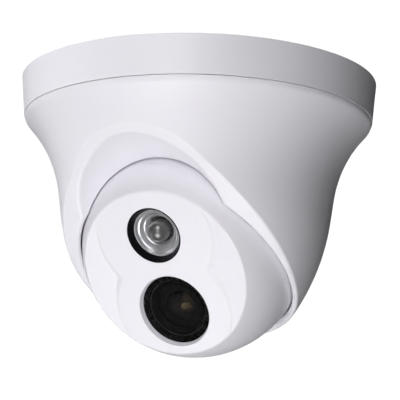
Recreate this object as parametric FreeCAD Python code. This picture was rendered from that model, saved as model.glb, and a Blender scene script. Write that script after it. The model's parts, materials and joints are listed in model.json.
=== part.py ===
import FreeCAD, Part
import math
import os

# Ceiling turret camera: a round base, a bell-shaped cover with a hooded mouth, and a ball
# that carries the lamp and the lens.  Millimetres, +Z up, origin at the centre of the
# ceiling face; the camera hangs below it and its hood faces -Y.

Vector = FreeCAD.Vector
AXIS_X = Vector(1, 0, 0)
AXIS_Z = Vector(0, 0, 1)
ORIGIN = Vector(0, 0, 0)

# Driving dimensions
BASE_D = 115.0          # across the ceiling face
BASE_H = 12.35          # ceiling face to the parting line
SEAM_GAP = 0.2          # parting line between base and cover
WALL = 2.2              # general moulding wall
BALL_R = 36.0
BALL_DROP = 53.0        # ceiling face to ball centre
REST_TILT = 33.7        # optical axis below the horizontal, as stored
FACE_Z = 23.15          # flat face of the ball, measured from its centre
LAMP_Y = 12.98          # lamp and lens window, up and down the face
LENS_Y = -12.77
RUNNING = 0.05          # radial clearance of a turning fit

BASE_R = BASE_D / 2
BALL_CENTRE = Vector(0, 0, -BALL_DROP)

# Mounting base
BASE_DRAFT = 1.15       # the rim narrows by this much down its height
PLATE_T = 2.6
RIM_INNER_R = 54.2
TRACK_R = 44.45         # spigot that the pan ring turns on
TRACK_WALL = 1.55
TRACK_BOTTOM = -6.15
LEDGE_R = 46.5          # shoulder above the pan ring
LEDGE_BOTTOM = -4.6
POST_RADIUS = 39.4      # pitch radius of the clip posts
POST_R = 3.4
POST_BOTTOM = -6.3
POST_PILOT_R = 1.45
SCREW_BOSS = 2.4        # boss round each ceiling hole, in hole radii
SCREW_BOSS_END = -3.8
COLLAR_WALL = 2.0       # collar round the cable hole
COLLAR_END = -5.0
GROMMET_END = -6.4
CLIP_PLATE_T = 1.3      # plates that hold the pan ring up
CLIP_START = 36.0
CLIP_LENGTH = 11.2
CLIP_WIDTH = 9.0
CLIP_HOLE_R = 1.6
CLIP_SCREW_HEAD_R = 2.7
CLIP_SCREW_R = 1.4
CLIP_SCREW_HEAD = 2.0
CLIP_SCREW_TIP = 0.8    # the tip stops this far short of the plate
CEILING_PITCH_R = 33.0
CEILING_HOLE_R = 2.25
CABLE_HOLE_R = 7.0
GROMMET_BORE_R = 3.1
THIRDS = (90, 210, 330)
BETWEEN_THIRDS = (30, 150, 270)

# Pan ring, a bayonet ring that the cover locks to
RING_TOP = -4.65
RING_BOTTOM = -6.15
RING_OUTER_R = 51.5
LUG_INNER_R = 48.4
LUG_ANGLE = 24
NOTCH_ANGLE = 30
NOTCH_DEPTH_GAP = 0.4   # the notches run this far inside the lugs

# Cover: the outside is a chain of tangent arcs, turned about Z
COVER_TOP = -BASE_H - SEAM_GAP
COVER_TOP_R = 56.1
COLLAR_OUTER_R = 53.9
COLLAR_INNER_R = 52.0
COLLAR_TOP = -3.1
COLLAR_ROOT = 3.4       # the collar's bore runs this far down inside the flare
COLLAR_LAP = 0.3        # lugs and ledge are rooted this deep in the collar
RING_LEDGE_T = 1.25     # ledge that carries the pan ring
RING_LEDGE_GRIP = 1.2
PIVOT_BOSS_R = 4.6
PIVOT_BOSS_END = 40.4
PIVOT_BORE_SPARE = 0.2
SHOULDER_R = 2.6
SHOULDER_TURN = 43
FLARE_R = 43
FLARE_TURN = -35
WAIST_RUN = 7.5
BELLY_R = 71
BELLY_TURN = 40
SEAT_R = 36.45          # spherical seat round the ball
SEAT_TOP = 9.5          # the seat ends this far below the ball centre

# Mouth of the cover: an arched, faintly barrelled surface that flattens towards its front
MOUTH_TILT = 56.6       # its normal, below the horizontal
MOUTH_OFFSET = 14.14    # ball centre to the arch's crown, along that normal
MOUTH_SHIFT = 2.43      # crown of the arch, forward of the ball centre
MOUTH_ARCH_R = 106.5
MOUTH_BARREL_R = 580
MOUTH_HALF = 65.0       # half length of the barrels
TOE_OFFSET = 6.6        # the flatter arch under the front of the hood
TOE_SHIFT = 5.2
TOE_ARCH_R = 340
TOE_BLEND = 45          # hollow curve that joins the two arches
RIM_ROUND = 1.5         # rounding of the mouth's inner edge, round the ball
RIDGE_ROUND = 0.8       # rounding of the mouth's outer edge
MEND = 0.01             # tolerance for closing the rounded edge's ends
# Hood pocket: a cone that lets the face look out level
POCKET_TILT = 8.8
POCKET_NEAR = 24.8      # from the ball centre to the pocket's circle on the ball
POCKET_NEAR_R = 26.1
POCKET_FLARE = 22.6
POCKET_START = 18.0     # the cone is cut from here, inside the ball
POCKET_END = 62.0

# Tilt yoke, a steel strip round the back of the ball
YOKE_IN_R = 36.3
YOKE_OUT_R = 37.3
YOKE_HALF_W = 7.0
YOKE_FLAT_TOP = -36.2
YOKE_FLAT_R = 9.0
YOKE_FLAT_WALL = 1.0
PIN_R = 2.0
PIN_START = 36.35
PIN_END = 39.8
TILT_WASHER_R = 4.4
TILT_WASHER_GAP = 0.03  # end float, each side
LUG_FACE = 37.75
NECK_R = 5.0
NECK_BORE_R = 3.4
NECK_END = -38.7
NECK_ROOT = -33.0
NECK_SHOULDER_R = 7.6
NECK_GROOVE = 0.7       # depth of the retaining clip's groove
WASHER_R = 8.2
WASHER_T = 0.4
CLIP_R = 7.0
CLIP_T = 0.6
CLIP_MOUTH = 4.4
GLAND_R = 5.0
GLAND_T = 1.2
GLAND_BORE_R = 2.0
AXIAL_GAP = 0.02        # end float of the turning neck

# Ball
SHELL_IN_R = BALL_R - WALL
FACE_ROUND = 1.2
FACE_T = 2.4
LOBE_TOP_R = 19.6       # plateau round the lamp
LOBE_LOW_R = 19.2       # plateau round the lens
LOBE_WAIST_ROUND = 3.0
LOBE_SLOPE = 1.8        # run of the plateau's sloping side for each unit of drop
SCOOP_DEPTH = 1.4       # hollow beside the plateau's waist
SCOOP_R = 220
SCOOP_WAIST_X = 15.0
SCOOP_LEAN = 5.7        # the hollow's floor climbs outward
LAMP_HOLE_R = 9.2
BOSS_CORE = 0.5         # how far bosses are rooted in the shell
LAMP_BOSS_R = 10.6
WINDOW_BOSS_R = 13.4
WINDOW_BOSS_LOW = 18.5
FRONT_BOSS_R = 2.8      # board and heat sink bosses of the front shell
BOARD_PILOT_R = 1.25
BOARD_PILOT_END = 12.0
SINK_PILOT_R = 1.05
SINK_PILOT_END = 18.2
SHELL_SCREW_R = 30.0    # pitch radius of the screws that join the ball
SHELL_SCREW_HEAD_R = 2.4
SHELL_SCREW_SHANK_R = 1.4
SHELL_PILOT_R = 1.45
SHELL_PILOT_END = 8.5
SHELL_BOSS_R = 3.2
SHELL_BOSS_END = 10.0
REAR_BOSS_R = 4.2
REAR_BOSS_END = -25.0
SCREW_SEAT = -10.0      # seat of the shell screws' heads
SCREW_PASS_R = 1.6
SCREW_WELL_R = 2.9
GROOVE_OUT = 1.0        # seal groove, from the shell's inner skin
GROOVE_IN = 0.5
GROOVE_DEPTH = 1.0
SEAL_GAP = 0.05

# Lamp: heat sink, board, emitter, dome, cup and bezel, stacked along the optical axis
LAMP_BOARD_TOP = 14.25
LAMP_BOARD_T = 1.2
LAMP_BOARD_R = 10.1
LAMP_TAB = 6.0
LAMP_TAB_Y = 1.5
EMITTER = 3.5
EMITTER_TOP = 15.05
DOME_R = 3.6
DOME_CENTRE_Z = 19.05
DOME_FOOT_R = 3.85
DOME_FOOT_TOP = 15.75
CUP_R = 7.75
CUP_TOP = 21.05
CUP_STEPS = ((7.3, 21.05), (6.75, 20.35), (6.3, 20.15), (5.4, 18.95), (5.0, 18.75), (4.15, 17.55))
CUP_BORE_R = 3.95
BEZEL_R = 9.15
BEZEL_LIP_R = 8.75      # mouth of the bezel's funnel
BEZEL_BORE_R = 7.8
SINK_R = 9.8
SINK_T = 2.4
SINK_EAR_X = 13.0
SINK_EAR_R = 2.6
SINK_WEB = 3.6
FIN_LENGTH = 11.0
FIN_T = 1.2
FIN_DROP = 4.0
FIN_PITCH = 3.4
SINK_HOLE_R = 1.15
SINK_SCREW_HEAD_R = 2.0
SINK_SCREW_R = 1.0
SINK_SCREW_HEAD = 1.6
SINK_SCREW_TIP = 17.2
LEAD_R = 0.6
LEAD_Y = 0.3
LEAD_X = -3.0

# Lens window and lens
WINDOW_R = 11.45
WINDOW_DROP = 1.5       # the glass lies this far below the face
WINDOW_FLARE = 0.55     # its recess is this much wider at the face
WINDOW_T = 1.5
SEAL_T = 0.2
WINDOW_LEDGE_IN_R = 9.4
SHROUD_R = 9.3
SHROUD_BORE_R = 7.2
SHROUD_LOW = 14.5
SHROUD_GAP = 0.25       # below the glass
BARREL_R = 5.9
BARREL_LOW = 4.5
BARREL_BORE_R = 4.2
LENS_FLANGE_R = 6.9
LENS_FLANGE_LOW = 15.5
LENS_FLANGE_TOP = 18.0
FRONT_SEAT_R = 5.05
FRONT_SEAT_Z = 15.6
REAR_SEAT_R = 4.6
REAR_SEAT_Z = 7.0
FRONT_DOME_R = 8.5
FRONT_DOME_Z = 10.4
OPTIC_GAP = 0.05        # radial gap round a lens element
MIDDLE_LENS = (10.2, 12.4)
REAR_LENS_LOW = 4.9
HOLDER_SIDE = 16.0
HOLDER_TOP = 5.0
HOLDER_TUBE_R = 7.6
HOLDER_TUBE_TOP = 12.0
HOLDER_EAR_X = 10.0
HOLDER_EAR_R = 2.4
HOLDER_EAR_TOP = 2.0
HOLDER_POCKET = 11.6
HOLDER_LIGHT_R = 3.6
HOLDER_SCREW_HEAD_R = 1.7
HOLDER_SCREW_R = 0.8
HOLDER_PILOT_R = 0.85
FILTER_SIDE = 9.0
FILTER_T = 0.6
SENSOR_SIDE = 8.4
SENSOR_T = 1.2

# Circuit boards and what they carry
BOARD_X = 18.5          # half sizes of the two circuit boards
BOARD_Y = 23.5
BOARD_T = 1.6
BOARD_CORNER = 2.5
BOARD_HOLE_R = 1.35
SENSOR_BOARD_TOP = -1.0
POWER_BOARD_TOP = -12.0
BOARD_HOLE_X = 15.5
BOARD_HOLE_Y = 20.5
BOARD_BOSS_END = 3.0
SPACER_R = 2.4
SPACER_BORE_R = 1.3
BOARD_SCREW_HEAD_R = 2.2
BOARD_SCREW_R = 1.2
BOARD_SCREW_HEAD = 1.8
BOARD_SCREW_TIP = 9.0
PROCESSOR_SIDE = 12.0
PROCESSOR_T = 1.2
PROCESSOR_Y = 5.0
INDUCTOR_SIDE = 7.0
INDUCTOR_T = 4.0
HEADER_T = 6.0
HEADER_FLOOR = 1.5


def cylinder(radius, low, high, x=0.0, y=0.0):
    return Part.makeCylinder(radius, high - low, Vector(x, y, low))


def tube(outer, inner, low, high, x=0.0, y=0.0):
    return cylinder(outer, low, high, x, y).cut(cylinder(inner, low, high, x, y))


def cylinder_x(radius, low, high, y=0.0, z=0.0):
    return Part.makeCylinder(radius, high - low, Vector(low, y, z), AXIS_X)


def block(size_x, size_y, low, high, x=0.0, y=0.0):
    corner = Vector(x - size_x / 2, y - size_y / 2, low)
    return Part.makeBox(size_x, size_y, high - low, corner)


def fuse_all(shapes):
    body = shapes[0]
    for shape in shapes[1:]:
        body = body.fuse(shape)
    return body.removeSplitter()


def polar(radius, degrees):
    angle = math.radians(degrees)
    return radius * math.cos(angle), radius * math.sin(angle)


def turned(points):
    """Turn a closed outline of (radius, z) points about Z."""
    corners = [Vector(r, 0, z) for r, z in points + points[:1]]
    return Part.Face(Part.makePolygon(corners)).revolve(ORIGIN, AXIS_Z, 360)


def turned_edges(edges):
    """Turn a closed list of edges in the XZ plane about Z."""
    return Part.Face(Part.Wire(edges)).revolve(ORIGIN, AXIS_Z, 360)


def line(a, b):
    return Part.LineSegment(a, b).toShape()


def arc(a, middle, b):
    return Part.Arc(a, middle, b).toShape()


def sector(outer, inner, low, high, centre_angle, width):
    """A piece of a ring, width degrees wide."""
    profile = [(inner, low), (outer, low), (outer, high), (inner, high)]
    corners = [Vector(r, 0, z) for r, z in profile + profile[:1]]
    piece = Part.Face(Part.makePolygon(corners)).revolve(ORIGIN, AXIS_Z, width)
    piece.rotate(ORIGIN, AXIS_Z, centre_angle - width / 2)
    return piece


def on_ball(shape):
    """Place a shape drawn with the optical axis along +Z and the face's top along +Y."""
    placed = shape.copy()
    turn = FreeCAD.Rotation(AXIS_X, 90 + REST_TILT)
    placed.Placement = FreeCAD.Placement(BALL_CENTRE, turn).multiply(placed.Placement)
    return placed


def forward_down(degrees):
    """Unit vector towards the front (-Y), this far below the horizontal."""
    angle = math.radians(degrees)
    return Vector(0, -math.cos(angle), -math.sin(angle))


def screw(head_r, shank_r, head_low, head_high, tip, x, y):
    """Pan-head screw; the shank runs from the head's face towards tip."""
    low, high = (head_high, tip) if tip > head_high else (tip, head_low)
    head = cylinder(head_r, head_low, head_high, x, y)
    rim = [edge for edge in head.Edges if abs(edge.BoundBox.ZMax - head_low) < 1e-6]
    head = head.makeFillet(0.25 * head_r, [edge for edge in rim if edge.Length > head_r])
    slot = block(0.35 * head_r, 1.4 * head_r, head_low, head_low + 0.35 * head_r, x, y)
    return head.cut(slot).fuse(cylinder(shank_r, low, high, x, y)).removeSplitter()


# ---------------------------------------------------------------- mounting base

def mounting_base():
    rim = Part.makeCone(BASE_R - BASE_DRAFT, BASE_R, BASE_H, Vector(0, 0, -BASE_H))
    hollow = cylinder(RIM_INNER_R, -BASE_H, -PLATE_T)
    spigot = tube(TRACK_R, TRACK_R - TRACK_WALL, TRACK_BOTTOM, -PLATE_T)
    ledge = tube(LEDGE_R, TRACK_R, LEDGE_BOTTOM, -PLATE_T)
    cable_collar = cylinder(CABLE_HOLE_R + COLLAR_WALL, COLLAR_END, -PLATE_T)
    parts = [rim.cut(hollow), spigot, ledge, cable_collar]
    posts = [polar(POST_RADIUS, angle) for angle in THIRDS]
    holes = [polar(CEILING_PITCH_R, angle) for angle in BETWEEN_THIRDS]
    parts += [cylinder(POST_R, POST_BOTTOM, -PLATE_T, x, y) for x, y in posts]
    parts += [cylinder(SCREW_BOSS * CEILING_HOLE_R, SCREW_BOSS_END, -PLATE_T, x, y) for x, y in holes]
    base = fuse_all(parts).cut(cylinder(CABLE_HOLE_R, -BASE_H, 0))
    for x, y in holes:
        base = base.cut(cylinder(CEILING_HOLE_R, -BASE_H, 0, x, y))
    for x, y in posts:
        base = base.cut(cylinder(POST_PILOT_R, POST_BOTTOM, -PLATE_T - 0.4, x, y))
    return base


def cable_grommet():
    sleeve = cylinder(CABLE_HOLE_R - RUNNING, COLLAR_END, 0)
    flange = cylinder(CABLE_HOLE_R + COLLAR_WALL, GROMMET_END, COLLAR_END)
    return sleeve.fuse(flange).cut(cylinder(GROMMET_BORE_R, GROMMET_END, 0)).removeSplitter()


def pan_clips():
    """Three small plates that hold the pan ring up against the base's shoulder."""
    corner = Vector(CLIP_START, -CLIP_WIDTH / 2, POST_BOTTOM - CLIP_PLATE_T)
    plate = Part.makeBox(CLIP_LENGTH, CLIP_WIDTH, CLIP_PLATE_T, corner)
    plate = plate.cut(cylinder(CLIP_HOLE_R, -BASE_H, 0, POST_RADIUS, 0))
    clips = []
    for angle in THIRDS:
        clip = plate.copy()
        clip.rotate(ORIGIN, AXIS_Z, angle)
        clips.append(clip)
    return Part.makeCompound(clips)


def pan_clip_screws():
    seat = POST_BOTTOM - CLIP_PLATE_T
    tip = -PLATE_T - CLIP_SCREW_TIP
    places = [polar(POST_RADIUS, angle) for angle in THIRDS]
    return Part.makeCompound([screw(CLIP_SCREW_HEAD_R, CLIP_SCREW_R, seat - CLIP_SCREW_HEAD, seat, tip, x, y)
                              for x, y in places])


# ---------------------------------------------------------------- cover (pans)

def pan_ring():
    ring = tube(RING_OUTER_R, TRACK_R + RUNNING, RING_BOTTOM, RING_TOP)
    for angle in BETWEEN_THIRDS:
        ring = ring.cut(sector(RING_OUTER_R + 1, LUG_INNER_R - NOTCH_DEPTH_GAP, RING_BOTTOM, RING_TOP,
                               angle, NOTCH_ANGLE))
    return ring


def inward(heading):
    """Unit normal into the cover, for a heading measured from straight down."""
    angle = math.radians(heading)
    return Vector(-math.cos(angle), 0, math.sin(angle))


def cover_chain(offset):
    """Edges of the cover's side from top to bottom, moved inward by offset."""
    point = Vector(COVER_TOP_R, 0, COVER_TOP) + inward(0) * offset
    heading = 0
    edges = []
    for radius, turn in ((SHOULDER_R, SHOULDER_TURN), (FLARE_R, FLARE_TURN),
                         (None, WAIST_RUN), (BELLY_R, BELLY_TURN)):
        if radius is None:
            angle = math.radians(heading)
            end = point + Vector(-math.sin(angle), 0, -math.cos(angle)) * turn
            edges.append(line(point, end))
        else:
            side = math.copysign(1, turn)
            reach = side * radius - offset
            centre = point + inward(heading) * reach
            middle = centre - inward(heading + turn / 2) * reach
            end = centre - inward(heading + turn) * reach
            edges.append(arc(point, middle, end))
            heading += turn
        point = end
    return edges


def closed_to_axis(edges):
    """Close a chain of edges to the Z axis at its two ends."""
    top = edges[0].valueAt(edges[0].FirstParameter)
    bottom = edges[-1].valueAt(edges[-1].LastParameter)
    axis_top = Vector(0, 0, top.z)
    axis_bottom = Vector(0, 0, bottom.z)
    return [line(axis_top, top)] + edges + [line(bottom, axis_bottom), line(axis_bottom, axis_top)]


def barrel(arch_r, offset, shift, inset):
    """Faintly barrelled drum whose axis lies along X; its skin arches over the mouth."""
    crown = arch_r - inset
    end = crown - MOUTH_HALF ** 2 / (2 * MOUTH_BARREL_R)
    left = Vector(-MOUTH_HALF, 0, end)
    right = Vector(MOUTH_HALF, 0, end)
    right_axis = Vector(MOUTH_HALF, 0, 0)
    left_axis = Vector(-MOUTH_HALF, 0, 0)
    outline = [arc(left, Vector(0, 0, crown), right), line(right, right_axis),
               line(right_axis, left_axis), line(left_axis, left)]
    drum = Part.Face(Part.Wire(outline)).revolve(ORIGIN, AXIS_X, 360)
    across = forward_down(MOUTH_TILT)
    along = forward_down(MOUTH_TILT - 90)
    drum.translate(BALL_CENTRE + across * (offset - arch_r) + along * shift)
    return drum


def mouth_solid(inset):
    """Everything on the inner side of the mouth's surface, moved inward by inset."""
    arch = barrel(MOUTH_ARCH_R, MOUTH_OFFSET, MOUTH_SHIFT, inset)
    both = arch.fuse(barrel(TOE_ARCH_R, TOE_OFFSET, TOE_SHIFT, inset))
    meeting = [edge for edge in both.Edges
               if edge.BoundBox.XLength > MOUTH_HALF and edge.BoundBox.Center.y < 0
               and edge.BoundBox.Center.z < 0]
    return both.makeFillet(TOE_BLEND, meeting)


def hood_cone(start, grow):
    """Cone of the hood pocket, from start outward; grow adds to its radius."""
    slope = math.tan(math.radians(POCKET_FLARE))
    start_r = POCKET_NEAR_R + (start - POCKET_NEAR) * slope + grow
    end_r = POCKET_NEAR_R + (POCKET_END - POCKET_NEAR) * slope + grow
    direction = forward_down(POCKET_TILT)
    return Part.makeCone(start_r, end_r, POCKET_END - start, BALL_CENTRE + direction * start, direction)


def near(edge, solid):
    """True where the middle of an edge lies on a solid's skin."""
    middle = edge.valueAt((edge.FirstParameter + edge.LastParameter) / 2)
    return Part.Vertex(middle).distToShape(solid.Shells[0])[0] < 0.01


def round_edges(shell, outside):
    """Round the mouth's inner edge, then the ridge where the mouth meets the cover's side."""
    mouth = mouth_solid(0)
    inner_cutters = (hood_cone(POCKET_START, 0), Part.makeSphere(SEAT_R, BALL_CENTRE))
    rim = [edge for edge in shell.Edges
           if near(edge, mouth) and any(near(edge, cutter) for cutter in inner_cutters)]
    rounded = shell.makeFillet(RIM_ROUND, rim)
    ridge = [edge for edge in rounded.Edges if near(edge, mouth) and near(edge, outside)]
    rounded = rounded.makeFillet(RIDGE_ROUND, ridge)
    rounded.fix(MEND, MEND, MEND)
    return rounded


def cover_hollow():
    """Space inside the cover: its walls, mouth rim and hood pocket keep their thickness."""
    inside = turned_edges(closed_to_axis(cover_chain(WALL)))
    above_seat = cylinder(BASE_R, -BALL_DROP - SEAT_TOP, COVER_TOP)
    hollow = inside.common(above_seat)
    hollow = hollow.common(mouth_solid(WALL))
    hollow = hollow.cut(hood_cone(POCKET_START + WALL, WALL / math.cos(math.radians(POCKET_FLARE))))
    collar_root = COVER_TOP - COLLAR_ROOT
    hollow = hollow.cut(tube(BASE_R, COLLAR_INNER_R, collar_root, COVER_TOP))
    return hollow.fuse(cylinder(COLLAR_INNER_R, collar_root, COLLAR_TOP))


def cover():
    outside = turned_edges(closed_to_axis(cover_chain(0)))
    shell = outside.common(mouth_solid(0))
    shell = shell.fuse(cylinder(COLLAR_OUTER_R, COVER_TOP - 1, COLLAR_TOP))
    shell = shell.cut(cover_hollow())
    pivots = [cylinder_x(PIVOT_BOSS_R, low, high, z=-BALL_DROP)
              for low, high in ((LUG_FACE, PIVOT_BOSS_END), (-PIVOT_BOSS_END, -LUG_FACE))]
    root_r = COLLAR_INNER_R + COLLAR_LAP
    lugs = [sector(root_r, LUG_INNER_R, RING_TOP, COLLAR_TOP, angle, LUG_ANGLE) for angle in THIRDS]
    ledge = tube(root_r, RING_OUTER_R - RING_LEDGE_GRIP, RING_BOTTOM - RING_LEDGE_T, RING_BOTTOM)
    shell = fuse_all([shell, ledge] + pivots + lugs)
    shell = shell.cut(Part.makeSphere(SEAT_R, BALL_CENTRE))
    shell = shell.cut(hood_cone(POCKET_START, 0))
    bore_end = PIN_END + PIVOT_BORE_SPARE
    for low, high in ((LUG_FACE - 0.5, bore_end), (-bore_end, 0.5 - LUG_FACE)):
        shell = shell.cut(cylinder_x(PIN_R + RUNNING, low, high, z=-BALL_DROP))
    return round_edges(shell.removeSplitter(), outside)


# ---------------------------------------------------------------- yoke (tilts)

def tilt_yoke():
    band = Part.makeSphere(YOKE_OUT_R).cut(Part.makeSphere(YOKE_IN_R))
    reach = PIVOT_BOSS_END
    strip = Part.makeBox(2 * reach, 2 * YOKE_HALF_W, reach, Vector(-reach, -YOKE_HALF_W, -reach))
    ears = cylinder_x(YOKE_HALF_W, -reach, reach)
    yoke = band.common(strip.fuse(ears))
    yoke = yoke.fuse(cylinder(YOKE_FLAT_R, -YOKE_OUT_R, YOKE_FLAT_TOP))
    yoke = yoke.cut(cylinder(YOKE_FLAT_R - YOKE_FLAT_WALL, YOKE_FLAT_TOP, -SHELL_IN_R))
    yoke = yoke.cut(cylinder(NECK_R + RUNNING, -reach, -SHELL_IN_R))
    yoke = yoke.cut(cylinder_x(PIN_R, -reach, reach))
    return yoke.removeSplitter()


def tilt_pins():
    return Part.makeCompound([cylinder_x(PIN_R, PIN_START, PIN_END), cylinder_x(PIN_R, -PIN_END, -PIN_START)])


def tilt_washers():
    near_face = YOKE_OUT_R + AXIAL_GAP
    far_face = LUG_FACE - TILT_WASHER_GAP
    washers = []
    for low, high in ((near_face, far_face), (-far_face, -near_face)):
        washers.append(cylinder_x(TILT_WASHER_R, low, high).cut(cylinder_x(PIN_R + RUNNING, low, high)))
    return Part.makeCompound(washers)


# ---------------------------------------------------------------- ball (turns)

def face_outline_edges():
    """Outer edges of the front half: sphere, rounded edge and flat face."""
    centre_z = FACE_Z - FACE_ROUND
    reach = BALL_R - FACE_ROUND
    centre = Vector(math.sqrt(reach ** 2 - centre_z ** 2), 0, centre_z)
    angle = math.atan2(centre.z, centre.x)
    on_sphere = centre * (BALL_R / reach)
    half_angle = (angle + math.pi / 2) / 2
    round_middle = centre + Vector(math.cos(half_angle), 0, math.sin(half_angle)) * FACE_ROUND
    flat_edge = Vector(centre.x, 0, FACE_Z)
    sphere_middle = Vector(math.cos(angle / 2), 0, math.sin(angle / 2)) * BALL_R
    return [arc(Vector(BALL_R, 0, 0), sphere_middle, on_sphere),
            arc(on_sphere, round_middle, flat_edge),
            line(flat_edge, Vector(0, 0, FACE_Z))]


def lobe(radius, y):
    """One lobe of the plateau; its side slopes outward as it goes down."""
    drop = FACE_T
    rise = 0.5
    cone = Part.makeCone(radius + LOBE_SLOPE * drop, radius - LOBE_SLOPE * rise, drop + rise,
                         Vector(0, y, FACE_Z - drop))
    return cone


def plateau():
    """Figure-of-eight plateau round the lamp and the lens, with a rounded waist."""
    lobes = lobe(LOBE_TOP_R, LAMP_Y).fuse(lobe(LOBE_LOW_R, LENS_Y)).removeSplitter()
    waist = [edge for edge in lobes.Edges
             if abs(edge.BoundBox.Center.x) > 0.5 * SCOOP_WAIST_X and edge.BoundBox.XLength < FACE_ROUND * 6
             and edge.BoundBox.ZLength > 1]
    return lobes.makeFillet(LOBE_WAIST_ROUND, waist)


def face_scoops():
    """Two shallow hollows beside the plateau; their floors climb towards the ball's edge."""
    middle = plateau()
    scoops = []
    for sign in (1, -1):
        floor_z = FACE_Z - SCOOP_DEPTH
        scoop = cylinder_x(SCOOP_R, -2 * BALL_R, 2 * BALL_R, z=floor_z + SCOOP_R)
        scoop.rotate(Vector(sign * SCOOP_WAIST_X, 0, floor_z), Vector(0, 1, 0), -sign * SCOOP_LEAN)
        side = Part.makeBox(BALL_R, 2 * BALL_R, FACE_T, Vector(0, -BALL_R, FACE_Z - FACE_T + 0.4))
        if sign < 0:
            side.translate(Vector(-BALL_R, 0, 0))
        scoops.append(scoop.common(side).cut(middle))
    return scoops


def board_holes():
    return [(x, y) for x in (-BOARD_HOLE_X, BOARD_HOLE_X) for y in (-BOARD_HOLE_Y, BOARD_HOLE_Y)]


def shell_screw_places():
    return [polar(SHELL_SCREW_R, angle) for angle in (0, 90, 180, 270)]


def lamp_screw_places():
    return [(-SINK_EAR_X, LAMP_Y), (SINK_EAR_X, LAMP_Y)]


def front_bosses(inner_face):
    board_bosses = [cylinder(FRONT_BOSS_R, BOARD_BOSS_END, inner_face, x, y) for x, y in board_holes()]
    shell_bosses = [cylinder(SHELL_BOSS_R, 0, SHELL_BOSS_END, x, y) for x, y in shell_screw_places()]
    sink_low = LAMP_BOARD_TOP - LAMP_BOARD_T
    sink_bosses = [cylinder(FRONT_BOSS_R, sink_low, inner_face, x, y) for x, y in lamp_screw_places()]
    return board_bosses + shell_bosses + sink_bosses


def window_opening():
    """Ledge, seat and flared recess of the lens window."""
    glass_top = FACE_Z - WINDOW_DROP
    seat_low = glass_top - WINDOW_T - SEAL_T
    ledge = cylinder(WINDOW_LEDGE_IN_R, SHELL_BOSS_END, FACE_Z, 0, LENS_Y)
    seat = cylinder(WINDOW_R, seat_low, glass_top, 0, LENS_Y)
    recess = Part.makeCone(WINDOW_R, WINDOW_R + WINDOW_FLARE, WINDOW_DROP, Vector(0, LENS_Y, glass_top))
    return ledge.fuse(seat).fuse(recess)


def ball_front_shell():
    inner_face = FACE_Z - FACE_T
    outside = turned_edges(face_outline_edges() + [line(Vector(0, 0, FACE_Z), ORIGIN),
                                                   line(ORIGIN, Vector(BALL_R, 0, 0))])
    inside = Part.makeSphere(SHELL_IN_R).common(cylinder(BALL_R, 0, inner_face))
    shell = outside.cut(inside)
    core = outside.common(Part.makeSphere(SHELL_IN_R + BOSS_CORE))
    extras = [cylinder(LAMP_BOSS_R, LAMP_BOARD_TOP, inner_face, 0, LAMP_Y),
              cylinder(WINDOW_BOSS_R, WINDOW_BOSS_LOW, inner_face, 0, LENS_Y)]
    extras += front_bosses(inner_face)
    shell = fuse_all([shell] + [extra.common(core) for extra in extras])
    for scoop in face_scoops():
        shell = shell.cut(scoop)
    shell = shell.cut(cylinder(LAMP_HOLE_R, 0, FACE_Z, 0, LAMP_Y)).cut(window_opening())
    pilots = [cylinder(BOARD_PILOT_R, 0, BOARD_PILOT_END, x, y) for x, y in board_holes()]
    pilots += [cylinder(SHELL_PILOT_R, 0, SHELL_PILOT_END, x, y) for x, y in shell_screw_places()]
    pilots += [cylinder(SINK_PILOT_R, 0, SINK_PILOT_END, x, y) for x, y in lamp_screw_places()]
    for pilot in pilots:
        shell = shell.cut(pilot)
    return shell


def ball_rear_shell():
    groove = tube(SHELL_IN_R + GROOVE_OUT, SHELL_IN_R - GROOVE_IN, -GROOVE_DEPTH, 0)
    whole = Part.makeSphere(BALL_R)
    shell = whole.cut(Part.makeSphere(SHELL_IN_R)).common(cylinder(BALL_R + 1, -BALL_R - 1, 0)).cut(groove)
    neck = cylinder(NECK_R, NECK_END, NECK_ROOT)
    shoulder = cylinder(NECK_SHOULDER_R, YOKE_FLAT_TOP + AXIAL_GAP, NECK_ROOT)
    bosses = [cylinder(REAR_BOSS_R, REAR_BOSS_END, 0, x, y).common(whole).cut(groove)
              for x, y in shell_screw_places()]
    shell = fuse_all([shell, neck, shoulder] + bosses)
    for x, y in shell_screw_places():
        shell = shell.cut(cylinder(SCREW_PASS_R, SCREW_SEAT - 2, 0, x, y))
        shell = shell.cut(cylinder(SCREW_WELL_R, -SHELL_IN_R, SCREW_SEAT, x, y))
    shell = shell.cut(cylinder(NECK_BORE_R, -YOKE_OUT_R - CLIP_R, REAR_BOSS_END))
    clip_top = -YOKE_OUT_R - WASHER_T
    clip_low = clip_top - CLIP_T
    return shell.cut(tube(NECK_R + 1, NECK_R - NECK_GROOVE, clip_low - AXIAL_GAP, clip_top + AXIAL_GAP))


def ball_seal():
    return tube(SHELL_IN_R + GROOVE_OUT - SEAL_GAP, SHELL_IN_R + SEAL_GAP, AXIAL_GAP - GROOVE_DEPTH, -AXIAL_GAP)


def ball_screws():
    return Part.makeCompound([screw(SHELL_SCREW_HEAD_R, SHELL_SCREW_SHANK_R, SCREW_SEAT - 2, SCREW_SEAT,
                                    SHELL_PILOT_END - 0.5, x, y) for x, y in shell_screw_places()])


def neck_washer():
    return tube(WASHER_R, NECK_R + RUNNING, -YOKE_OUT_R - WASHER_T, -YOKE_OUT_R)


def neck_clip():
    top = -YOKE_OUT_R - WASHER_T
    clip = tube(CLIP_R, NECK_R - NECK_GROOVE + RUNNING, top - CLIP_T, top)
    return clip.cut(block(CLIP_MOUTH, CLIP_R + 1, top - CLIP_T, top, 0, -NECK_R - 0.5))


def neck_gland():
    flange = cylinder(GLAND_R, NECK_ROOT, NECK_ROOT + GLAND_T)
    sleeve = cylinder(NECK_BORE_R - RUNNING, NECK_END, NECK_ROOT)
    bore = cylinder(GLAND_BORE_R, NECK_END, NECK_ROOT + GLAND_T)
    return flange.fuse(sleeve).cut(bore).removeSplitter()


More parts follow.
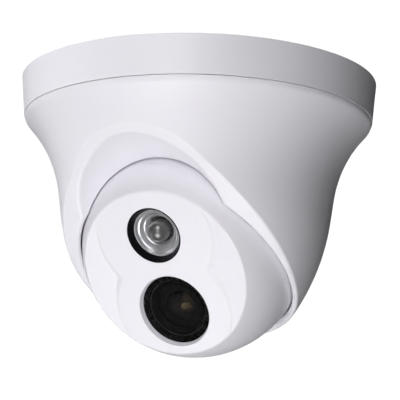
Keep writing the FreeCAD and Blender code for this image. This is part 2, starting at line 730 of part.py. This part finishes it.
def lamp_bezel():
    """Funnel round the lamp: a hairline lip at the face, then straight down to the board."""
    outline = [(BEZEL_R, LAMP_BOARD_TOP), (BEZEL_R, FACE_Z), (BEZEL_LIP_R, FACE_Z),
               (BEZEL_BORE_R, CUP_TOP), (BEZEL_BORE_R, LAMP_BOARD_TOP)]
    bezel = turned(outline)
    bezel.translate(Vector(0, LAMP_Y, 0))
    return bezel


def lamp_reflector():
    """Bright cup with two steps, open to the dome in its floor."""
    outline = [(CUP_R, LAMP_BOARD_TOP), (CUP_R, CUP_TOP)] + list(CUP_STEPS)
    outline.append((CUP_BORE_R, LAMP_BOARD_TOP))
    cup = turned(outline)
    cup.translate(Vector(0, LAMP_Y, 0))
    return cup


def lamp_dome():
    stem = cylinder(DOME_R, EMITTER_TOP, DOME_CENTRE_Z)
    crown = Part.makeSphere(DOME_R, Vector(0, 0, DOME_CENTRE_Z)).common(cylinder(DOME_R + 1, DOME_CENTRE_Z, FACE_Z))
    foot = cylinder(DOME_FOOT_R, EMITTER_TOP, DOME_FOOT_TOP)
    dome = stem.fuse(crown).fuse(foot).removeSplitter()
    dome.translate(Vector(0, LAMP_Y, 0))
    return dome


def lamp_emitter():
    return block(EMITTER, EMITTER, LAMP_BOARD_TOP, EMITTER_TOP, 0, LAMP_Y)


def lamp_board():
    """Round metal-cored board with a tab for its lead."""
    low = LAMP_BOARD_TOP - LAMP_BOARD_T
    disc = cylinder(LAMP_BOARD_R, low, LAMP_BOARD_TOP, 0, LAMP_Y)
    tab = block(LAMP_TAB, LAMP_TAB, low, LAMP_BOARD_TOP, 0, LAMP_TAB_Y)
    return disc.fuse(tab).removeSplitter()


def lamp_heat_sink():
    """Aluminium disc with fins and two screw ears."""
    top = LAMP_BOARD_TOP - LAMP_BOARD_T
    low = top - SINK_T
    disc = cylinder(SINK_R, low, top, 0, LAMP_Y)
    ears = [cylinder(SINK_EAR_R, low, top, x, y) for x, y in lamp_screw_places()]
    web = block(2 * SINK_EAR_X, SINK_WEB, low, top, 0, LAMP_Y)
    fins = [block(FIN_LENGTH, FIN_T, low - FIN_DROP, low, 0, LAMP_Y + step * FIN_PITCH)
            for step in (-2, -1, 0, 1, 2)]
    sink = fuse_all([disc, web] + ears + fins)
    for x, y in lamp_screw_places():
        sink = sink.cut(cylinder(SINK_HOLE_R, 0, FACE_Z, x, y))
    return sink


def lamp_screws():
    seat = LAMP_BOARD_TOP - LAMP_BOARD_T - SINK_T
    return Part.makeCompound([screw(SINK_SCREW_HEAD_R, SINK_SCREW_R, seat - SINK_SCREW_HEAD, seat,
                                    SINK_SCREW_TIP, x, y) for x, y in lamp_screw_places()])


def lens_window():
    top = FACE_Z - WINDOW_DROP
    return cylinder(WINDOW_R - RUNNING, top - WINDOW_T, top, 0, LENS_Y)


def window_seal():
    top = FACE_Z - WINDOW_DROP - WINDOW_T
    return tube(WINDOW_R - 0.1, WINDOW_LEDGE_IN_R + 0.1, top - SEAL_T, top, 0, LENS_Y)


def lens_shroud():
    """Dark ring that keeps the lamp's light out of the lens."""
    top = FACE_Z - WINDOW_DROP - WINDOW_T - SHROUD_GAP
    outline = [(SHROUD_BORE_R, SHROUD_LOW), (SHROUD_R, SHROUD_LOW), (SHROUD_R, top),
               (SHROUD_R - 0.7, top), (SHROUD_BORE_R, top - 1)]
    shroud = turned(outline)
    shroud.translate(Vector(0, LENS_Y, 0))
    return shroud


def lens_barrel():
    thread = cylinder(BARREL_R, BARREL_LOW, LENS_FLANGE_LOW, 0, LENS_Y)
    flange = cylinder(LENS_FLANGE_R, LENS_FLANGE_LOW, LENS_FLANGE_TOP, 0, LENS_Y)
    barrel = thread.fuse(flange).cut(cylinder(BARREL_BORE_R, BARREL_LOW, LENS_FLANGE_TOP, 0, LENS_Y))
    barrel = barrel.cut(cylinder(FRONT_SEAT_R, FRONT_SEAT_Z, LENS_FLANGE_TOP, 0, LENS_Y))
    return barrel.cut(cylinder(REAR_SEAT_R, BARREL_LOW, REAR_SEAT_Z, 0, LENS_Y)).removeSplitter()


def lens_front_element():
    dome = Part.makeSphere(FRONT_DOME_R, Vector(0, LENS_Y, FRONT_DOME_Z))
    return dome.common(cylinder(FRONT_SEAT_R - OPTIC_GAP, FRONT_SEAT_Z, FACE_Z, 0, LENS_Y))


def lens_middle_element():
    return cylinder(BARREL_BORE_R - OPTIC_GAP, *MIDDLE_LENS, 0, LENS_Y)


def lens_rear_element():
    return cylinder(REAR_SEAT_R - OPTIC_GAP, REAR_LENS_LOW, REAR_SEAT_Z, 0, LENS_Y)


def lens_holder():
    ears_x = (-HOLDER_EAR_X, HOLDER_EAR_X)
    base = block(HOLDER_SIDE, HOLDER_SIDE, SENSOR_BOARD_TOP, HOLDER_TOP, 0, LENS_Y)
    ears = [cylinder(HOLDER_EAR_R, SENSOR_BOARD_TOP, HOLDER_EAR_TOP, x, LENS_Y) for x in ears_x]
    bar = block(2 * HOLDER_EAR_X, 2 * HOLDER_EAR_R, SENSOR_BOARD_TOP, HOLDER_EAR_TOP, 0, LENS_Y)
    holder = fuse_all([base, fuse_all(ears + [bar]),
                       cylinder(HOLDER_TUBE_R, HOLDER_TOP, HOLDER_TUBE_TOP, 0, LENS_Y)])
    holder = holder.cut(cylinder(BARREL_R + RUNNING, HOLDER_TOP - 1, HOLDER_TUBE_TOP, 0, LENS_Y))
    holder = holder.cut(cylinder(HOLDER_LIGHT_R, 0, HOLDER_TOP, 0, LENS_Y))
    pocket_top = HOLDER_EAR_TOP + FILTER_T
    holder = holder.cut(block(HOLDER_POCKET, HOLDER_POCKET, SENSOR_BOARD_TOP, pocket_top, 0, LENS_Y))
    for x in ears_x:
        holder = holder.cut(cylinder(HOLDER_PILOT_R, SENSOR_BOARD_TOP, HOLDER_EAR_TOP, x, LENS_Y))
    return holder


def ir_cut_filter():
    return block(FILTER_SIDE, FILTER_SIDE, HOLDER_EAR_TOP, HOLDER_EAR_TOP + FILTER_T, 0, LENS_Y)


def image_sensor():
    return block(SENSOR_SIDE, SENSOR_SIDE, SENSOR_BOARD_TOP, SENSOR_BOARD_TOP + SENSOR_T, 0, LENS_Y)


def lens_holder_screws():
    low = SENSOR_BOARD_TOP - BOARD_T
    return Part.makeCompound([screw(HOLDER_SCREW_HEAD_R, HOLDER_SCREW_R, low - 1.2, low, HOLDER_EAR_TOP - 0.6,
                                    x, LENS_Y) for x in (-HOLDER_EAR_X, HOLDER_EAR_X)])


def circuit_board(top):
    board = block(2 * BOARD_X, 2 * BOARD_Y, top - BOARD_T, top)
    corners = [edge for edge in board.Edges if edge.BoundBox.ZLength > BOARD_T / 2]
    board = board.makeFillet(BOARD_CORNER, corners)
    for x, y in board_holes():
        board = board.cut(cylinder(BOARD_HOLE_R, top - BOARD_T, top, x, y))
    return board


def sensor_board():
    board = circuit_board(SENSOR_BOARD_TOP)
    for x in (-HOLDER_EAR_X, HOLDER_EAR_X):
        board = board.cut(cylinder(HOLDER_PILOT_R + RUNNING, POWER_BOARD_TOP, SENSOR_BOARD_TOP, x, LENS_Y))
    return board


def power_board():
    return circuit_board(POWER_BOARD_TOP)


def spacers(low, high):
    return Part.makeCompound([tube(SPACER_R, SPACER_BORE_R, low, high, x, y) for x, y in board_holes()])


def board_screws():
    seat = POWER_BOARD_TOP - BOARD_T
    return Part.makeCompound([screw(BOARD_SCREW_HEAD_R, BOARD_SCREW_R, seat - BOARD_SCREW_HEAD, seat,
                                    BOARD_SCREW_TIP, x, y) for x, y in board_holes()])


def image_processor():
    top = SENSOR_BOARD_TOP - BOARD_T
    return block(PROCESSOR_SIDE, PROCESSOR_SIDE, top - PROCESSOR_T, top, 0, PROCESSOR_Y)


def board_header():
    """Pin header that joins the two boards."""
    return block(4.0, 18.0, POWER_BOARD_TOP, SENSOR_BOARD_TOP - BOARD_T, 12.0, 3.0)


def power_inductors():
    low = POWER_BOARD_TOP - BOARD_T
    return Part.makeCompound([block(INDUCTOR_SIDE, INDUCTOR_SIDE, low - INDUCTOR_T, low, x, -10.0)
                              for x in (-6.0, 6.0)])


def cable_header():
    """Socket for the camera's cable, facing the neck."""
    top = POWER_BOARD_TOP - BOARD_T
    low = top - HEADER_T
    housing = block(2 * HEADER_T, HEADER_T, low, top, 0, PROCESSOR_Y + 1)
    return housing.cut(block(2 * HEADER_T - 2, HEADER_T - 2, low, top - HEADER_FLOOR, 0, PROCESSOR_Y + 1))


def lamp_socket():
    return block(6.0, 4.0, SENSOR_BOARD_TOP, 2.5, LEAD_X, LEAD_Y)


def lamp_lead():
    """Two-core lead from the lamp board's tab down to its socket."""
    start_z = LAMP_BOARD_TOP - LAMP_BOARD_T
    route = [Vector(0, LEAD_Y, start_z), Vector(0, LEAD_Y, 9.4), Vector(LEAD_X, LEAD_Y, 6.0),
             Vector(LEAD_X, LEAD_Y, 2.5)]
    edges = []
    start = route[0]
    for before, corner, after in zip(route, route[1:], route[2:]):
        into = (corner - before).normalize()
        out = (after - corner).normalize()
        turn = into.getAngle(out)
        trim = 0.45 * min((corner - before).Length, (after - corner).Length)
        radius = trim / math.tan(turn / 2)
        begin = corner - into * trim
        end = corner + out * trim
        bow = (out - into).normalize() * (radius / math.cos(turn / 2) - radius)
        edges += [line(start, begin), arc(begin, corner + bow, end)]
        start = end
    edges.append(line(start, route[-1]))
    section = Part.Wire(Part.makeCircle(LEAD_R, route[0], Vector(0, 0, -1)))
    return Part.Wire(edges).makePipeShell([section], True, False)


STILL = {
    "mounting_base": mounting_base,
    "cable_grommet": cable_grommet,
    "pan_clips": pan_clips,
    "pan_clip_screws": pan_clip_screws,
    "pan_ring": pan_ring,
    "cover": cover,
}

IN_BALL_FRAME = {
    "tilt_yoke": tilt_yoke,
    "tilt_pins": tilt_pins,
    "tilt_washers": tilt_washers,
    "ball_front_shell": ball_front_shell,
    "ball_rear_shell": ball_rear_shell,
    "ball_seal": ball_seal,
    "ball_screws": ball_screws,
    "neck_washer": neck_washer,
    "neck_clip": neck_clip,
    "neck_gland": neck_gland,
    "lamp_bezel": lamp_bezel,
    "lamp_reflector": lamp_reflector,
    "lamp_dome": lamp_dome,
    "lamp_emitter": lamp_emitter,
    "lamp_board": lamp_board,
    "lamp_heat_sink": lamp_heat_sink,
    "lamp_screws": lamp_screws,
    "lamp_socket": lamp_socket,
    "lamp_lead": lamp_lead,
    "lens_window": lens_window,
    "window_seal": window_seal,
    "lens_shroud": lens_shroud,
    "lens_barrel": lens_barrel,
    "lens_front_element": lens_front_element,
    "lens_middle_element": lens_middle_element,
    "lens_rear_element": lens_rear_element,
    "lens_holder": lens_holder,
    "lens_holder_screws": lens_holder_screws,
    "ir_cut_filter": ir_cut_filter,
    "image_sensor": image_sensor,
    "sensor_board": sensor_board,
    "image_processor": image_processor,
    "front_spacers": lambda: spacers(SENSOR_BOARD_TOP, BOARD_BOSS_END),
    "rear_spacers": lambda: spacers(POWER_BOARD_TOP, SENSOR_BOARD_TOP - BOARD_T),
    "power_board": power_board,
    "board_screws": board_screws,
    "board_header": board_header,
    "power_inductors": power_inductors,
    "cable_header": cable_header,
}


def save(name, shape):
    if not shape.isValid():
        print("not valid:", name)
    print(f"{name}: {len(shape.Solids)} solid(s), {shape.Volume:.1f} mm3")
    shape.exportStep(f"parts/{name}.step")


os.makedirs("parts", exist_ok=True)
for node, make in STILL.items():
    save(node, make())
for node, make in IN_BALL_FRAME.items():
    save(node, on_ball(make()))
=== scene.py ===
import json
import math

import bmesh
import bpy
from mathutils import Matrix, Vector

# A ceiling turret camera in studio light.  Metres, same frame as the CAD: +Z up, the ceiling
# face at z = 0 and the hood facing -Y.

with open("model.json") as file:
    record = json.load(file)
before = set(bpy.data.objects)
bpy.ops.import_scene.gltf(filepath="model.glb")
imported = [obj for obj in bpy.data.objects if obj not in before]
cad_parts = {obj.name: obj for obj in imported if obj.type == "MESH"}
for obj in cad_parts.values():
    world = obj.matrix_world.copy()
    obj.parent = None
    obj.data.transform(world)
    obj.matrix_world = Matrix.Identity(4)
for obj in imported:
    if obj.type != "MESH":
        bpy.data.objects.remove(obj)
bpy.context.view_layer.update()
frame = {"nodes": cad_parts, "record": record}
NODES = frame["nodes"]
MM = 0.001

# Camera: target in millimetres, angles in degrees, distance in metres
CAMERA_TARGET = Vector((1.1, 0.6, -38.2)) * MM
CAMERA_AZIMUTH = 28.9
CAMERA_ELEVATION = -12.63
CAMERA_DISTANCE = 0.6435
CAMERA_ROLL = 1.5
CAMERA_LENS = 180.0
CAMERA_SENSOR = 36.0

# Soft lamps: name, azimuth, elevation, distance, size, watts
LAMP_TARGET = Vector((0, 0, -0.045))
LAMPS = (
    ("front_key", 13, 15, 1.0, 0.6, 4.3),
    ("front_low", 13, -20, 1.0, 0.6, 1.95),
    ("high_left", -70, 50, 1.0, 0.6, 8.2),
    ("side_left", -90, -20, 1.0, 0.6, 1.1),
    ("under", 0, -60, 0.33, 0.22, 0.57),
)

# Card, floor and backdrop
CARD_Z = -0.35
CARD_RADIUS = 2.5
FLOOR_Z = -1.0
FLOOR_RADIUS = 2.3
BACKDROP_RADIUS = 2.6
WORLD_STRENGTH = 0.0


# ---------------------------------------------------------------- material helpers

class Shader:
    """A material with a Principled shader, built node by node."""

    def __init__(self, name):
        self.material = bpy.data.materials.new(name)
        self.material.use_nodes = True
        self.tree = self.material.node_tree
        self.shader = self.tree.nodes["Principled BSDF"]
        coords = self.tree.nodes.new("ShaderNodeTexCoord")
        self.place = coords.outputs["Object"]

    def node(self, kind, inputs=None, **settings):
        made = self.tree.nodes.new(kind)
        for key, value in settings.items():
            setattr(made, key, value)
        for key, value in (inputs or {}).items():
            self.put(made.inputs[key], value)
        return made

    def put(self, socket, value):
        if isinstance(value, bpy.types.NodeSocket):
            self.tree.links.new(value, socket)
        else:
            socket.default_value = value

    def set(self, **values):
        """Set Principled inputs; underscores in the keywords stand for spaces."""
        for key, value in values.items():
            self.put(self.shader.inputs[key.replace("_", " ")], value)
        return self

    def noise(self, scale, detail=2.0, roughness=0.5):
        inputs = {"Vector": self.place, "Scale": scale, "Detail": detail, "Roughness": roughness}
        return self.node("ShaderNodeTexNoise", inputs).outputs["Fac"]

    def span(self, factor, low, high):
        """Map a 0 to 1 factor to the range low to high."""
        inputs = {"Value": factor, "To Min": low, "To Max": high}
        return self.node("ShaderNodeMapRange", inputs).outputs["Result"]

    def blend(self, factor, first, second):
        mix = self.node("ShaderNodeMix", data_type="RGBA")
        self.put(mix.inputs["Factor"], factor)
        self.put(mix.inputs["A"], first)
        self.put(mix.inputs["B"], second)
        return mix.outputs["Result"]

    def bump(self, height, strength, distance):
        inputs = {"Height": height, "Strength": strength, "Distance": distance}
        return self.node("ShaderNodeBump", inputs).outputs["Normal"]


def rgb(red, green, blue):
    return (red, green, blue, 1.0)


# ---------------------------------------------------------------- materials

def white_plastic():
    """Satin white moulding with a fine eroded texture and a slight cool tint."""
    m = Shader("satin_white_plastic")
    cloud = m.noise(35.0, 3.0)
    grain = m.noise(2600.0, 4.0, 0.6)
    m.set(Base_Color=m.blend(cloud, rgb(0.805, 0.79, 0.845), rgb(0.83, 0.82, 0.865)))
    m.set(Roughness=m.span(grain, 0.36, 0.46), IOR=1.5)
    m.set(Normal=m.bump(grain, 0.12, 0.00004))
    return m.material


def black_plastic():
    m = Shader("black_plastic")
    grain = m.noise(1800.0, 4.0)
    m.set(Base_Color=m.blend(grain, rgb(0.003, 0.003, 0.004), rgb(0.007, 0.007, 0.008)))
    m.set(Roughness=m.span(grain, 0.28, 0.42), Normal=m.bump(grain, 0.15, 0.00004))
    m.set(Specular_IOR_Level=0.1)
    return m.material


def rubber():
    m = Shader("black_rubber")
    grain = m.noise(900.0, 5.0, 0.6)
    m.set(Base_Color=m.blend(grain, rgb(0.012, 0.012, 0.012), rgb(0.03, 0.03, 0.03)))
    m.set(Roughness=m.span(grain, 0.6, 0.8), Normal=m.bump(grain, 0.3, 0.0001))
    return m.material


def brushed(name, colour, low, high):
    """Metal with fine scratches along one direction."""
    m = Shader(name)
    stretched = m.node("ShaderNodeMapping", {"Vector": m.place, "Scale": (3.0, 1.0, 0.12)})
    scratch = m.node("ShaderNodeTexNoise", {"Vector": stretched.outputs["Vector"], "Scale": 2500.0,
                                            "Detail": 4.0}).outputs["Fac"]
    darker = rgb(*(0.8 * channel for channel in colour))
    m.set(Base_Color=m.blend(scratch, darker, rgb(*colour)), Metallic=1.0)
    m.set(Roughness=m.span(scratch, low, high), Normal=m.bump(scratch, 0.1, 0.00003))
    return m.material


def nylon():
    m = Shader("natural_nylon")
    grain = m.noise(700.0, 3.0)
    m.set(Base_Color=m.blend(grain, rgb(0.62, 0.60, 0.54), rgb(0.70, 0.69, 0.64)))
    m.set(Roughness=m.span(grain, 0.4, 0.55), Subsurface_Weight=0.15, Subsurface_Scale=0.002)
    return m.material


def circuit_board(name, mask, track):
    """Solder mask over a maze of tracks."""
    m = Shader(name)
    maze = m.node("ShaderNodeTexBrick", {"Vector": m.place, "Color1": (1, 1, 1, 1), "Color2": (1, 1, 1, 1),
                                         "Mortar": (0, 0, 0, 1), "Scale": 420.0, "Mortar Size": 0.03})
    m.set(Base_Color=m.blend(maze.outputs["Color"], track, mask))
    m.set(Roughness=m.span(m.noise(600.0), 0.25, 0.4), Coat_Weight=0.3)
    return m.material


def bright_reflector():
    """Vacuum-metallised cup with faint turning rings."""
    m = Shader("bright_reflector")
    ripple = m.noise(500.0, 2.0)
    m.set(Base_Color=m.blend(ripple, rgb(0.60, 0.60, 0.63), rgb(0.66, 0.66, 0.69)), Metallic=0.6)
    m.set(Roughness=m.span(ripple, 0.2, 0.27), Normal=m.bump(ripple, 0.008, 0.0001))
    return m.material


def clear_optic():
    m = Shader("clear_optic")
    ripple = m.noise(300.0, 2.0)
    m.set(Base_Color=m.blend(ripple, rgb(0.11, 0.11, 0.108), rgb(0.14, 0.14, 0.136)))
    m.set(Transmission_Weight=0.2, IOR=1.9, Roughness=m.span(ripple, 0.2, 0.26))
    return m.material


def coated_glass():
    """Lens glass; the coating reflects amber at the middle and green at grazing angles."""
    m = Shader("coated_glass")
    facing = m.node("ShaderNodeLayerWeight", {"Blend": 0.35}).outputs["Facing"]
    m.set(Base_Color=rgb(0.02, 0.02, 0.025), Roughness=m.span(m.noise(200.0), 0.02, 0.06))
    m.set(Specular_Tint=m.blend(facing, rgb(1.0, 0.72, 0.42), rgb(0.45, 0.75, 0.4)), IOR=1.9)
    return m.material


def window_glass():
    """Smoked flat glass: dark, glossy, the lens behind it just shows."""
    m = Shader("smoked_window")
    film = m.noise(60.0, 2.0)
    m.set(Base_Color=m.blend(film, rgb(0.35, 0.35, 0.36), rgb(0.39, 0.39, 0.40)))
    m.set(Transmission_Weight=1.0, IOR=1.4, Roughness=m.span(film, 0.0, 0.02))
    return m.material


def phosphor():
    m = Shader("lamp_phosphor")
    grain = m.noise(4000.0, 3.0)
    m.set(Base_Color=m.blend(grain, rgb(0.75, 0.55, 0.10), rgb(0.85, 0.68, 0.2)), Roughness=0.5)
    return m.material


def sensor_face():
    m = Shader("sensor_face")
    facing = m.node("ShaderNodeLayerWeight", {"Blend": 0.5}).outputs["Facing"]
    m.set(Base_Color=m.blend(facing, rgb(0.10, 0.04, 0.16), rgb(0.02, 0.12, 0.10)), Roughness=0.1)
    return m.material


def red_sheath():
    m = Shader("lead_sheath")
    grain = m.noise(1500.0)
    m.set(Base_Color=m.blend(grain, rgb(0.45, 0.02, 0.02), rgb(0.6, 0.04, 0.03)), Roughness=0.45)
    return m.material


MATERIALS = {
    "white_plastic": white_plastic(),
    "black_plastic": black_plastic(),
    "black_rubber": rubber(),
    "steel": brushed("zinc_plated_steel", (0.62, 0.62, 0.60), 0.25, 0.4),
    "nylon": nylon(),
    "ferrite": brushed("ferrite", (0.05, 0.05, 0.055), 0.5, 0.7),
    "bright_reflector": bright_reflector(),
    "clear_optic": clear_optic(),
    "coated_glass": coated_glass(),
    "smoked_window": window_glass(),
    "phosphor": phosphor(),
    "white_board": circuit_board("white_solder_mask", rgb(0.8, 0.8, 0.78), rgb(0.7, 0.7, 0.66)),
    "aluminium": brushed("extruded_aluminium", (0.75, 0.75, 0.77), 0.3, 0.45),
    "black_aluminium": brushed("black_anodised", (0.03, 0.03, 0.03), 0.3, 0.45),
    "sensor_face": sensor_face(),
    "green_board": circuit_board("green_solder_mask", rgb(0.01, 0.16, 0.06), rgb(0.03, 0.28, 0.10)),
    "brass": brushed("turned_brass", (0.72, 0.55, 0.25), 0.2, 0.35),
    "lead_sheath": red_sheath(),
}


def dress_cad_nodes():
    """Give every CAD node the material of its slot in the record."""
    for entry in frame["record"]["subparts"]:
        piece = NODES[entry["node"]]
        piece.data.materials.clear()
        piece.data.materials.append(MATERIALS[entry["material_slot"]])


# ---------------------------------------------------------------- studio

def look_at(thing, target, roll_degrees=0.0):
    aim = (target - thing.location).to_track_quat("-Z", "Y")
    roll = Matrix.Rotation(math.radians(roll_degrees), 4, "Z")
    thing.matrix_world = Matrix.Translation(thing.location) @ aim.to_matrix().to_4x4() @ roll


def bearing(azimuth, elevation):
    """Unit vector towards a place in the studio; azimuth 0 is in front, 90 to the right."""
    a, e = math.radians(azimuth), math.radians(elevation)
    return Vector((math.sin(a) * math.cos(e), -math.cos(a) * math.cos(e), math.sin(e)))


def add_camera():
    camera = bpy.data.objects.new("camera", bpy.data.cameras.new("camera"))
    bpy.context.scene.collection.objects.link(camera)
    camera.data.lens = CAMERA_LENS
    camera.data.sensor_width = CAMERA_SENSOR
    camera.location = CAMERA_TARGET + bearing(CAMERA_AZIMUTH, CAMERA_ELEVATION) * CAMERA_DISTANCE
    look_at(camera, CAMERA_TARGET, CAMERA_ROLL)
    bpy.context.scene.camera = camera


def add_lamp(name, azimuth, elevation, distance, size, watts):
    data = bpy.data.lights.new(name, "AREA")
    data.shape = "DISK"
    data.size = size
    data.energy = watts
    lamp = bpy.data.objects.new(name, data)
    bpy.context.scene.collection.objects.link(lamp)
    lamp.location = LAMP_TARGET + bearing(azimuth, elevation) * distance
    look_at(lamp, LAMP_TARGET)


def pale_material(name, colour, emission=0.0):
    m = Shader(name)
    m.set(Base_Color=colour, Roughness=m.span(m.noise(4.0), 0.7, 0.8))
    if emission:
        m.set(Emission_Color=colour, Emission_Strength=emission)
    return m.material


def add_disc(name, radius, height, material):
    """Level round sheet of the studio."""
    mesh = bpy.data.meshes.new(name)
    work = bmesh.new()
    bmesh.ops.create_circle(work, cap_ends=True, radius=radius, segments=96)
    work.to_mesh(mesh)
    work.free()
    disc = bpy.data.objects.new(name, mesh)
    disc.location = (0, 0, height)
    mesh.materials.append(material)
    bpy.context.scene.collection.objects.link(disc)
    return disc


def add_bounce_card():
    """Pale card under the camera that throws light back up; the view looks through it."""
    card = add_disc("bounce_card", CARD_RADIUS, CARD_Z, pale_material("pale_card", rgb(0.85, 0.85, 0.85)))
    card.visible_camera = False
    card.visible_glossy = False


def only_for_the_view(thing):
    """Keep a studio surface in the view but out of the lighting."""
    for way in ("visible_diffuse", "visible_glossy", "visible_transmission", "visible_shadow"):
        setattr(thing, way, False)


def add_floor():
    pale = pale_material("pale_floor", rgb(0.88, 0.88, 0.89), 1.0)
    only_for_the_view(add_disc("floor", FLOOR_RADIUS, FLOOR_Z, pale))


def add_backdrop():
    """White surround that only the view sees, so it lights nothing."""
    mesh = bpy.data.meshes.new("backdrop")
    work = bmesh.new()
    bmesh.ops.create_uvsphere(work, u_segments=48, v_segments=24, radius=BACKDROP_RADIUS)
    work.to_mesh(mesh)
    work.free()
    backdrop = bpy.data.objects.new("backdrop", mesh)
    mesh.materials.append(pale_material("white_backdrop", rgb(1, 1, 1), 1.0))
    bpy.context.scene.collection.objects.link(backdrop)
    only_for_the_view(backdrop)


def set_world(strength):
    world = bpy.data.worlds.new("studio")
    world.use_nodes = True
    background = world.node_tree.nodes["Background"]
    background.inputs["Color"].default_value = (1.0, 1.0, 1.02, 1.0)
    background.inputs["Strength"].default_value = strength
    bpy.context.scene.world = world
    bpy.context.scene.view_settings.view_transform = "Standard"


dress_cad_nodes()
add_camera()
for lamp_values in LAMPS:
    add_lamp(*lamp_values)
add_bounce_card()
add_floor()
add_backdrop()
set_world(WORLD_STRENGTH)
